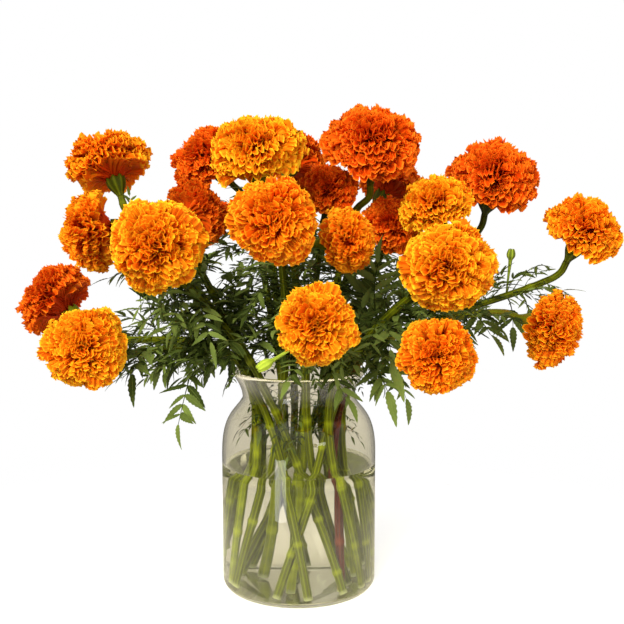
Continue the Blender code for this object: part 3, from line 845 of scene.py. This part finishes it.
def head_tree():
    """Petals in a spiral over a flattened ball, long ones low, crowded ones at the heart."""
    inputs = {"Petals": "Collection", "Count": "Int", "Radius": "Float", "Seed": "Int"}
    tree, source = new_tree("Petal head", {**inputs, "Material": "Material"})
    count, size, seed = source["Count"], source["Radius"], source["Seed"]
    index = put(tree, "GeometryNodeInputIndex")
    share = (index + 0.5) / count
    rise = 1.0 - share**1.35 * PETAL_SPREAD
    flat = rise.math("ARCCOSINE").math("SINE")
    turn = index * GOLDEN_ANGLE + chance(tree, -0.16, 0.16, seed)
    side_x, side_y = turn.math("COSINE"), turn.math("SINE")
    spot = joined(tree, flat * side_x, flat * side_y, rise)
    feeds = {"Vector": spot, "W": seed, "Scale": 1.5, "Detail": 1.0}
    swell = put(tree, "ShaderNodeTexNoise", feeds, noise_dimensions="4D")["Fac"].mapped(0.3, 0.7, 0.80, 1.09)
    ball = joined(tree, flat * side_x, flat * side_y, rise * (rise.above(0.0) * 0.28 + 0.46))
    ball = ball.scaled(swell * chance(tree, 0.91, 1.05, seed + 7))
    shell = ball.vector("ADD", (0, 0, 0.56)).scaled(size)
    heart = joined(tree, 0.0, 0.0, share**1.3 * -0.62 + 0.62).scaled(size)
    way = shell.vector("SUBTRACT", heart).vector("NORMALIZE")
    upward = joined(tree, rise * side_x * -1.0, rise * side_y * -1.0, flat)
    aimed = put(tree, "FunctionNodeAlignRotationToVector", {"Vector": way}, axis="Z")
    feeds = {"Rotation": aimed, "Vector": upward}
    faced = put(tree, "FunctionNodeAlignRotationToVector", feeds, axis="Y", pivot_axis="Z")
    twist = chance(tree, -1.0, 1.0, seed + 1) * (share * -1.15 + 1.55)
    pose = turned_by(faced, chance(tree, -0.22, 0.22, seed + 2), 0.0, twist)
    reach = (share**3.0 * 0.36 + 0.50) * chance(tree, 0.88, 1.10, seed + 3) * size
    start = shell.vector("SUBTRACT", way.scaled(reach))
    dots = put(tree, "GeometryNodePoints", {"Count": count, "Position": start})
    outer = (share + chance(tree, -0.12, 0.12, seed)).above(0.42)
    low = chance(tree, 0.0, OUTER_PETALS - 0.01, seed + 4) * outer
    high = chance(tree, OUTER_PETALS, OUTER_PETALS + INNER_PETALS - 0.01, seed + 5) * (1.0 - outer)
    breadth = reach * chance(tree, 0.9, 1.15, seed + 6)
    scale, tint = joined(tree, breadth, reach, reach), chance(tree, 0.0, 1.0, seed + 8)
    petals = scattered(dots, source["Petals"], low + high, pose, scale, tint)
    core = put(tree, "GeometryNodeMeshIcoSphere", {"Radius": 1.0, "Subdivisions": 4})
    middle, breadth = (joined(tree, *sizes).scaled(size) for sizes in ((0.0, 0.0, 0.50), (0.50, 0.50, 0.34)))
    core = put(tree, "GeometryNodeTransform", {0: core, "Translation": middle, "Scale": breadth})
    close_tree(tree, source["Material"], petals, core)
    return tree


class BOUQUET_OT_heads(bpy.types.Operator):
    """Cover each head's seat with spiralling, ruffled petals"""

    bl_idname = "bouquet.heads"
    bl_label = "Heads"

    def execute(self, context):
        settings = context.scene.bouquet_petals
        tree = head_tree()
        finishes = {}
        for colour in ("golden", "orange", "red_orange"):
            name = f"petals_{colour}"
            finishes[name] = petal_material(name, tuple(getattr(settings, colour)))
        shapes = collected("petal", petal_mesh, 11, PETAL_KINDS, settings.ruffle)
        for flower in FLOWERS:
            values = {
                "Petals": shapes,
                "Count": round(settings.count * (flower.radius / 0.035) ** 1.2),
                "Radius": flower.radius * 1.01,
                "Seed": flower.number * 31,
                "Material": finishes[flower.slot],
            }
            mesh = grown(linked("source", bpy.data.meshes.new("source")), tree, values)
            mesh.transform(stood(flower.seat, flower.facing))
            finished(f"{flower.head_node}_petals", mesh, flower.head_node)
        scrap(shapes)
        return {"FINISHED"}


# Leaves


BROAD_SHAPES = 3
FINE_SHAPES = 3
LEAFLET_KINDS = (  # how many, half width, rows, depth of teeth, bend, twist: broad leaflets, then fine ones
    (BROAD_SHAPES, (0.10, 0.16), 14, 0.22, (0.10, 0.34), (-0.5, 0.5)),
    (FINE_SHAPES, (0.11, 0.17), 6, 0.2, (0.0, 0.3), (-0.6, 0.6)),
)


def leaflet_mesh(name, dice, width, rows, teeth, bend, twist):
    """One leaflet along +Z, 1 long, its upper side towards -Y: toothed, folded on its midrib, bent."""
    width, bend, twist = (dice.uniform(*span) for span in (width, bend, twist))
    points, places = [], []
    for j in range(rows + 1):
        v = j / rows
        half = width * (math.sin(math.pi * v**0.8) ** 0.75 * (1 - 0.25 * v) + 0.015)
        tooth = teeth * half * (0.5 if j % 2 else -0.5)
        for side in (-1, 0, 1):
            reach = side * (half + tooth)
            y = bend * v * v - 0.28 * abs(reach) + reach * math.sin(twist * v)
            points.append((reach * math.cos(twist * v), y, v + 0.06 * abs(side) * tooth / width))
            places.append((0.5 + 0.5 * side, v))
    return sheet(name, points, 3, places)


def leaf_tree():
    """Leaflets in pairs along each midrib; a midrib point's radius is its leaflets' length."""
    inputs = {"Leaflets": "Collection", "Spacing": "Float", "First Shape": "Float", "Last Shape": "Float"}
    tree, source = new_tree("Pinnate leaf", {**inputs, "Seed": "Int", "Material": "Material"})
    seed, first = source["Seed"], source["First Shape"]
    feeds = {0: source["Geometry"], "Length": source["Spacing"]}
    line = put(tree, "GeometryNodeResampleCurve", feeds, mode="LENGTH")
    line = put(tree, "GeometryNodeSetCurveNormal", {0: line}, mode="Z_UP")
    line = stored(line, "place", put(tree, "GeometryNodeSplineParameter")["Factor"])
    line = stored(line, "reach", put(tree, "GeometryNodeInputRadius"))
    dots = put(tree, "GeometryNodeCurveToPoints", {0: line}, mode="EVALUATED")
    named = "GeometryNodeInputNamedAttribute"
    place, reach = (put(tree, named, {"Name": name}, data_type="FLOAT") for name in ("place", "reach"))
    last = place.above(0.985)
    grow = place.mapped(0.16, 0.45, smooth=True) * (place * -0.25 + 1.15)
    shapes = first, source["Last Shape"]
    spans = (0.62, 1.05), (-0.25, 0.35), (-0.5, 0.5), (0.75, 1.15), shapes, (0.0, 1.0)
    parts = []
    for side, shift in ((1.0, 1), (-1.0, 21)):
        draws = (chance(tree, *span, seed + k) for k, span in enumerate(spans, shift))
        angle, nod, roll, stretch, pick, tint = draws
        pose = turned_by(dots["Rotation"], nod, angle * side * (1.0 - last), roll)
        size = reach * grow * stretch * (last * 0.35 + 1.0)
        size = joined(tree, size, size, size)
        keep = grow.above(0.05) if side > 0 else grow.above(0.05) * (1.0 - last)
        tint = tint - first.above(0.5) * 0.1
        parts.append(scattered(dots["Points"], source["Leaflets"], pick, pose, size, tint, keep))
    ring = put(tree, "GeometryNodeCurvePrimitiveCircle", {"Resolution": 6, "Radius": 1.0})
    feeds = {0: line, 1: ring, "Scale": reach * (place * -0.020 + 0.032), "Fill Caps": True}
    close_tree(tree, source["Material"], *parts, put(tree, "GeometryNodeCurveToMesh", feeds))
    return tree


class Sprig:
    """A midrib to grow: its points, the length of its leaflets, and whether they are fine."""

    def __init__(self, points, reach, fine):
        self.points, self.reach, self.fine = points, reach, fine


def clear_of_heads(spot, room):
    """Whether a place keeps clear of every head and of the view of its face."""
    for flower in FLOWERS:
        away = spot - flower.middle
        if away.length < flower.radius * 0.97 + room:
            return False
        for front in (flower.facing, Vector((0, -1, 0))):
            ahead = away.dot(front)
            if 0 < ahead < 4 * flower.radius and (away - front * ahead).length < flower.radius * 0.9:
                return False
    return True


INSIDE = inset(glass_outside(), GLASS_WALL)
NEAR_VASE = 0.064  # within this of the axis, leaves keep inside the neck


def clear_of_glass(spot, room):
    """Whether a place is over the vase, in its neck, or outside it and not far below its rim."""
    aside = math.hypot(spot.x, spot.y)
    if aside < NEAR_VASE and spot.z < VASE_HIGH.z + 0.006:
        free = np.interp(spot.z, [z for _, z in INSIDE], [radius for radius, _ in INSIDE]) - room
        return spot.z > WATER_LEVEL + 0.012 and aside < free
    if spot.x > 0.07:
        return spot.z > VASE_HIGH.z + 0.030
    return spot.z > VASE_HIGH.z - 0.010 + 0.10 * max(0.0, aside - 0.07)


def inside_box(spot, margin):
    return all(low + margin < x < high - margin for low, x, high in zip(CAD_BOX[0], spot, CAD_BOX[1]))


def has_room(points, room):
    """Whether a midrib keeps clear of heads, box and glass."""
    free = all(clear_of_heads(p, room) and inside_box(p, room) for p in points[2:])
    return free and all(clear_of_glass(p, 2.2 * room) for p in points)


def leaf_line(base, way, length, droop, swerve):
    """Points of a midrib that leaves a stem along a direction, then droops."""
    points, steps = [base], 7
    for _ in range(steps):
        way = (way + Vector((0, 0, -droop)) + swerve).normalized()
        points.append(points[-1] + way * (length / steps))
    return points


def along_line(line, share):
    """The place and direction at a share of a line's length."""
    lengths = [0.0]
    for a, b in zip(line, line[1:]):
        lengths.append(lengths[-1] + (b - a).length)
    goal = share * lengths[-1]
    i = max(j for j, far in enumerate(lengths[:-1]) if far <= goal)
    t = (goal - lengths[i]) / (lengths[i + 1] - lengths[i])
    return line[i].lerp(line[i + 1], t), (line[i + 1] - line[i]).normalized()


BARE_TOP = 0.86  # no leaf grows past this share of a stem
TRIES = 4
BARE_IN_NECK = 0.35  # share of the places in the neck that are left bare
LEAN = Vector((0, -0.35, 0))  # leaves lean to the bouquet's front
IN_NECK = 0.45  # leaves that start in the neck are shortened by this


def wild_sprigs(flower, dice, fill, leaflet):
    """Leaves in opposite pairs up one stem, those without room left out."""
    line = [point for point in flower.line if point.z > WATER_LEVEL + 0.018]
    found = []
    for k in range(fill):
        share = (k + dice.uniform(0.1, 0.9)) / fill
        if share > BARE_TOP:
            continue
        base, along = along_line(line, share)
        if base.z < VASE_HIGH.z and dice.random() < BARE_IN_NECK:
            continue
        first = dice.uniform(0, math.pi)
        fine = dice.random() < 0.25 + 0.5 * share
        for turn in (first, first + math.pi):
            side = Matrix.Rotation(turn, 3, along) @ along.orthogonal().normalized()
            side = (side + LEAN).normalized()
            for _ in range(TRIES):
                length = dice.uniform(0.045, 0.085) * (1 - 0.45 * share) * (0.8 if fine else 1.0)
                if base.z < VASE_HIGH.z:
                    length *= IN_NECK
                way = (along * dice.uniform(0.35, 0.9) + side).normalized()
                swerve = Vector((dice.uniform(-0.1, 0.1), dice.uniform(-0.1, 0.1), 0))
                points = leaf_line(base, way, length, dice.uniform(-0.04, 0.26), swerve)
                reach = leaflet * (0.5 if fine else dice.uniform(0.7, 1.1)) * (1 - 0.35 * share)
                if base.z < VASE_HIGH.z + 0.012:
                    reach *= 0.4
                if has_room(points, reach * 0.35):
                    found.append(Sprig(points, reach, fine))
                    break
                side = Matrix.Rotation(dice.uniform(-0.9, 0.9), 3, along) @ side
    return found


SPRAYS = (  # stem, share of its points, direction, length, and whether its leaflets are fine
    (19, 0.68, (-0.15, -0.2, 1.0), 0.034, True),
    (19, 0.72, (0.30, -0.3, 0.8), 0.046, True),
    (19, 0.76, (-0.6, -0.1, 0.75), 0.030, True),
    (19, 0.80, (0.75, -0.3, 0.25), 0.036, True),
    (19, 0.84, (0.3, -0.3, -0.7), 0.026, False),
    (19, 0.74, (-0.2, -0.5, -0.9), 0.032, False),
    (19, 0.78, (0.2, -0.4, 0.9), 0.026, True),
    (19, 0.70, (-0.8, -0.4, 0.5), 0.030, True),
    (20, 0.80, (0.1, -0.2, 1.0), 0.030, True),
    (20, 0.84, (0.4, -0.3, 0.8), 0.026, True),
    (20, 0.78, (0.5, -0.5, -0.5), 0.030, True),
    (20, 0.72, (-0.3, -0.3, 0.9), 0.034, True),
    (1, 0.90, (0.9, -0.4, -0.1), 0.024, True),
)


def spray(number, share, way, length, fine, leaflet):
    """One leaf, placed as its listed row gives it."""
    line = FLOWERS[number - 1].line
    place = share * (len(line) - 1)
    base = line[int(place)].lerp(line[min(int(place) + 1, len(line) - 1)], place % 1)
    points = leaf_line(base, Vector(way).normalized(), length, 0.06, Vector())
    return Sprig(points, leaflet * (0.36 if fine else 0.6), fine)


def leaf_foot(verts):
    """The six vertices where a leaf of the model leaves its stem."""
    spots = [point for flower in FLOWERS for point in flower.line]
    near = min(verts, key=lambda v: min((v.co - spot).length for spot in spots))
    return sorted(verts, key=lambda v: (v.co - near.co).length)[:6]


def main_sprig(node, leaflet):
    """The leaf that stands where a leaf of the model does."""
    points = [middle for middle, _ in rings(node, leaf_foot)]
    whole = sum((b - a).length for a, b in zip(points, points[1:]))
    return Sprig(points, min(leaflet, 0.3 * whole), False)


class BOUQUET_OT_leaves(bpy.types.Operator):
    """Grow the pinnate leaves on the stems"""

    bl_idname = "bouquet.leaves"
    bl_label = "Leaves"

    def groups(self, settings):
        """All sprigs, each with the leaf of the model that starts nearest to it."""
        dice = random.Random(settings.seed)
        nodes = [f"leaf_{number:02d}" for number in LEAF_NUMBERS]
        groups = {node: [main_sprig(node, settings.leaflet)] for node in nodes}
        bases = {node: sprigs[0].points[0] for node, sprigs in groups.items()}
        for flower in FLOWERS:
            sprigs = wild_sprigs(flower, dice, settings.fill, settings.leaflet)
            sprigs += [spray(*row, settings.leaflet) for row in SPRAYS if row[0] == flower.number]
            for sprig in sprigs:
                nearest = min(bases, key=lambda node: (bases[node] - sprig.points[0]).length)
                groups[nearest].append(sprig)
        return groups

    def execute(self, context):
        settings = context.scene.bouquet_leaves
        finish = leaf_material("leaf_green", tuple(settings.dark), tuple(settings.light))
        tree = leaf_tree()
        shapes = collected("leaflet", leaflet_mesh, 5, LEAFLET_KINDS)
        for number, (node, sprigs) in enumerate(self.groups(settings).items()):
            meshes = []
            for fine in (False, True):
                lines = [(s.points, [s.reach] * len(s.points)) for s in sprigs if s.fine is fine]
                if not lines:
                    continue
                start, count = (BROAD_SHAPES, FINE_SHAPES) if fine else (0, BROAD_SHAPES)
                values = {
                    "Leaflets": shapes,
                    "Spacing": settings.spacing * (0.5 if fine else 1.0),
                    "First Shape": float(start),
                    "Last Shape": start + count - 0.01,
                    "Seed": 50 * number + 7,
                    "Material": finish,
                }
                meshes.append(grown(smooth_lines(lines, 12), tree, values))
            finished(f"{node}_leaflets", merged(meshes), node)
        scrap(shapes)
        return {"FINISHED"}


# Buds


STALK_THINNEST, STALK_THICKEST = 0.0008, 0.0012


def bud_tip(verts):
    """The vertex at the tip of a bud, where many edges of one length meet."""

    def unevenness(vert):
        lengths = [edge.calc_length() for edge in vert.link_edges]
        return max(lengths) - min(lengths)

    return [min((v for v in verts if len(v.link_edges) >= 9), key=unevenness)]


def bud_mesh(foot, facing, stalk, length, radius, ribs):
    """A stalk and a ribbed closed bud with its lobes drawn together at the tip."""
    around, up = 6 * ribs, 18
    profile = [(0.0007, 0.0, 0.0), (0.0010, stalk * 0.5, 0.0), (0.0016, stalk * 0.97, 0.0)]
    for j in range(1, up):
        t = j / up
        wide = math.sin(math.pi * min(1.0, 0.06 + 0.80 * t)) ** 0.65 * (1.0 - 0.18 * t)
        profile.append((radius * wide, stalk + length * t, min(1.0, t * 1.6)))
    turns = [math.tau * k / around for k in range(around)]
    lobes = [abs(math.cos(ribs * turn / 2)) for turn in turns]
    rows = []
    for wide, height, rib in profile:
        rows.append([])
        for turn, lobe in zip(turns, lobes):
            groove = lobe**0.7
            size = wide * (1 - 0.16 * rib * (1 - groove))
            tip = 0.10 * length * groove * max(0.0, (height - stalk) / length - 0.7) / 0.3
            rows[-1].append((size * math.cos(turn), size * math.sin(turn), height + tip))
    mesh = skinned("bud", rows, (0, 0, 0), (0, 0, stalk + length * 0.96))
    paint(mesh, "ridge", [lobe**2 for lobe in lobes] * len(rows) + [0.0, 0.0])
    paint(mesh, "along", [0.5] * len(mesh.vertices))
    mesh.transform(stood(foot, facing))
    return mesh


class BOUQUET_OT_buds(bpy.types.Operator):
    """Grow the two unopened buds on their stalks"""

    bl_idname = "bouquet.buds"
    bl_label = "Buds"

    def execute(self, context):
        settings = context.scene.bouquet_leaves
        finish = stem_material("bud_green", tuple(settings.bud), above=1.0)
        for node, ribs, tint in (("bud_hanging", 7, 0.6), ("bud_right", 6, -0.4)):
            walked = rings(node, bud_tip)
            end = walked[0][0]
            top, foot = [middle for middle, radius in walked if STALK_THINNEST < radius < STALK_THICKEST]
            facing = (end - foot).normalized()
            foot = foot - facing * 0.002
            radius = max(radius for _, radius in walked) * 1.05
            mesh = bud_mesh(foot, facing, (top - foot).length, (end - top).length, radius, ribs)
            mesh.materials.append(finish)
            paint(mesh, "tint", [tint] * len(mesh.vertices))
            finished(f"{node}_grown", mesh, node)
        return {"FINISHED"}


# Stage


SOFTBOXES = (  # name, place, width, height, power
    ("key", (-0.9, -1.5, 1.4), 1.1, 1.1, 80),
    ("fill", (1.4, -1.3, 0.8), 1.0, 1.0, 25),
    ("back", (0.5, 1.6, 1.5), 1.2, 1.0, 18),
)
GLEAMS = (
    ("window", (-0.076, -0.190, 0.063), 0.050, 0.076, 0.07),
    ("lamp", (0.110, -0.190, 0.165), 0.045, 0.016, 0.014),
)
GLOSS = ((0.0, (0.09, 0.087, 0.075)), (0.35, (0.2, 0.19, 0.17)), (0.8, (0.9, 0.9, 0.9)))
THROUGH, THROUGH_MIRRORED = (0.73, 0.675, 0.55), (0.58, 0.54, 0.45)
FLOOR_THROUGH = (0.72, 0.665, 0.54)


class BOUQUET_OT_stage(bpy.types.Operator):
    """Set the pale floor, the soft light and the camera"""

    bl_idname = "bouquet.stage"
    bl_label = "Stage"

    def execute(self, context):
        settings = context.scene.bouquet_stage
        floor = turned("floor", [(0.9, -0.0002), (0.0, -0.0002)], 64)
        floor.materials.append(self.floor_material(settings))
        linked("floor", floor)
        self.add_sky(context)
        for lamp in SOFTBOXES:
            self.add_softbox(*lamp)
        for lamp in GLEAMS:
            self.add_gleam(*lamp)
        camera = bpy.data.cameras.new("camera")
        camera.lens = settings.lens
        camera.sensor_width = 36
        stand = linked("camera", camera)
        stand.location = settings.camera
        stand.rotation_euler = (math.pi / 2 - settings.tilt, 0, 0)
        context.scene.camera = stand
        context.scene.view_settings.view_transform = "Standard"
        return {"FINISHED"}

    def floor_material(self, settings):
        """White where the camera sees it, beige through the glass, and faded out before its edge."""
        made, tree, shader, output = blank_material("floor")
        seen = put(tree, "ShaderNodeLightPath")["Is Camera Ray"]
        colour = blended(seen, FLOOR_THROUGH, tuple(settings.floor))
        feed(shader, {"Base Color": colour, "Roughness": 0.9, "Specular IOR Level": 0.0})
        fade = object_place(tree).vector("LENGTH")["Value"].mapped(0.12, 0.45, smooth=True)
        part_through(output, fade, shader, put(tree, "ShaderNodeBsdfTransparent"))
        return made

    def add_sky(self, context):
        """White to look at, softer and warmer to be lit by, beige through the glass."""
        world = context.scene.world or bpy.data.worlds.new("sky")
        context.scene.world = world
        world.use_nodes = True
        tree = world.node_tree
        tree.nodes.clear()
        ray = put(tree, "ShaderNodeLightPath")
        sky = put(tree, "ShaderNodeBackground", {"Color": (1.0, 0.98, 0.95, 1), "Strength": 0.68})
        up = parts_of(put(tree, "ShaderNodeTexCoord")["Generated"])[2]
        through = blended(ray["Glossy Depth"].above(0.5), THROUGH, THROUGH_MIRRORED)
        for kind, colour in (
            ("Is Glossy Ray", ramp(up, GLOSS)),
            ("Is Transmission Ray", through),
            ("Is Camera Ray", (1.0, 1.0, 1.0, 1)),
        ):
            part = put(tree, "ShaderNodeBackground", {"Color": colour, "Strength": 1.0})
            sky = put(tree, "ShaderNodeMixShader", {0: ray[kind], 1: sky, 2: part})
        put(tree, "ShaderNodeOutputWorld", {"Surface": sky})

    def add_softbox(self, name, place, width, height, power):
        """A soft lamp aimed at the flowers, not seen in the glass."""
        lamp = bpy.data.lights.new(name, "AREA")
        lamp.shape = "RECTANGLE"
        lamp.size, lamp.size_y = width, height
        lamp.energy = power
        stand = linked(name, lamp)
        stand.location = place
        stand.visible_glossy = stand.visible_transmission = False
        self.aim(stand, 0.25)
        return stand

    def add_gleam(self, name, place, width, height, power):
        """A small bright panel that shows only as a reflection in the glass."""
        stand = self.add_softbox(name, place, width, height, power)
        stand.visible_glossy = True
        stand.visible_camera = stand.visible_diffuse = False
        self.aim(stand, place[2])

    def aim(self, stand, height):
        """Turns a lamp to the vase's axis at a height."""
        way = Vector((0, 0, height)) - stand.location
        stand.rotation_euler = way.to_track_quat("-Z", "Y").to_euler()


class BOUQUET_PT_panel(bpy.types.Panel):
    """Buttons for every group of pieces"""

    bl_label = "Marigold Bouquet"
    bl_space_type = "VIEW_3D"
    bl_region_type = "UI"
    bl_category = "Bouquet"

    def draw(self, context):
        for settings, operator in (
            ("bouquet_vase", "bouquet.vase"),
            ("bouquet_vase", "bouquet.water"),
            ("bouquet_stems", "bouquet.stems"),
            ("bouquet_petals", "bouquet.heads"),
            ("bouquet_leaves", "bouquet.leaves"),
            ("bouquet_leaves", "bouquet.buds"),
            ("bouquet_stage", "bouquet.stage"),
        ):
            box = self.layout.box()
            group = getattr(context.scene, settings)
            for name in group.bl_rna.properties.keys():
                if name not in ("rna_type", "name"):
                    box.prop(group, name)
            box.operator(operator)


SETTINGS = {
    "bouquet_petals": PetalSettings,
    "bouquet_stems": StemSettings,
    "bouquet_leaves": LeafSettings,
    "bouquet_vase": VaseSettings,
    "bouquet_stage": StageSettings,
}
CLASSES = (
    *SETTINGS.values(),
    BOUQUET_OT_vase,
    BOUQUET_OT_water,
    BOUQUET_OT_stems,
    BOUQUET_OT_heads,
    BOUQUET_OT_leaves,
    BOUQUET_OT_buds,
    BOUQUET_OT_stage,
    BOUQUET_PT_panel,
)


def register():
    for kind in CLASSES:
        bpy.utils.register_class(kind)
    for name, kind in SETTINGS.items():
        setattr(bpy.types.Scene, name, PointerProperty(type=kind))


def unregister():
    for name in SETTINGS:
        delattr(bpy.types.Scene, name)
    for kind in reversed(CLASSES):
        bpy.utils.unregister_class(kind)


def main():
    register()
    bpy.ops.bouquet.stage()
    bpy.ops.bouquet.vase()
    bpy.ops.bouquet.water()
    bpy.ops.bouquet.stems()
    bpy.ops.bouquet.heads()
    bpy.ops.bouquet.leaves()
    bpy.ops.bouquet.buds()


if __name__ == "__main__":
    main()
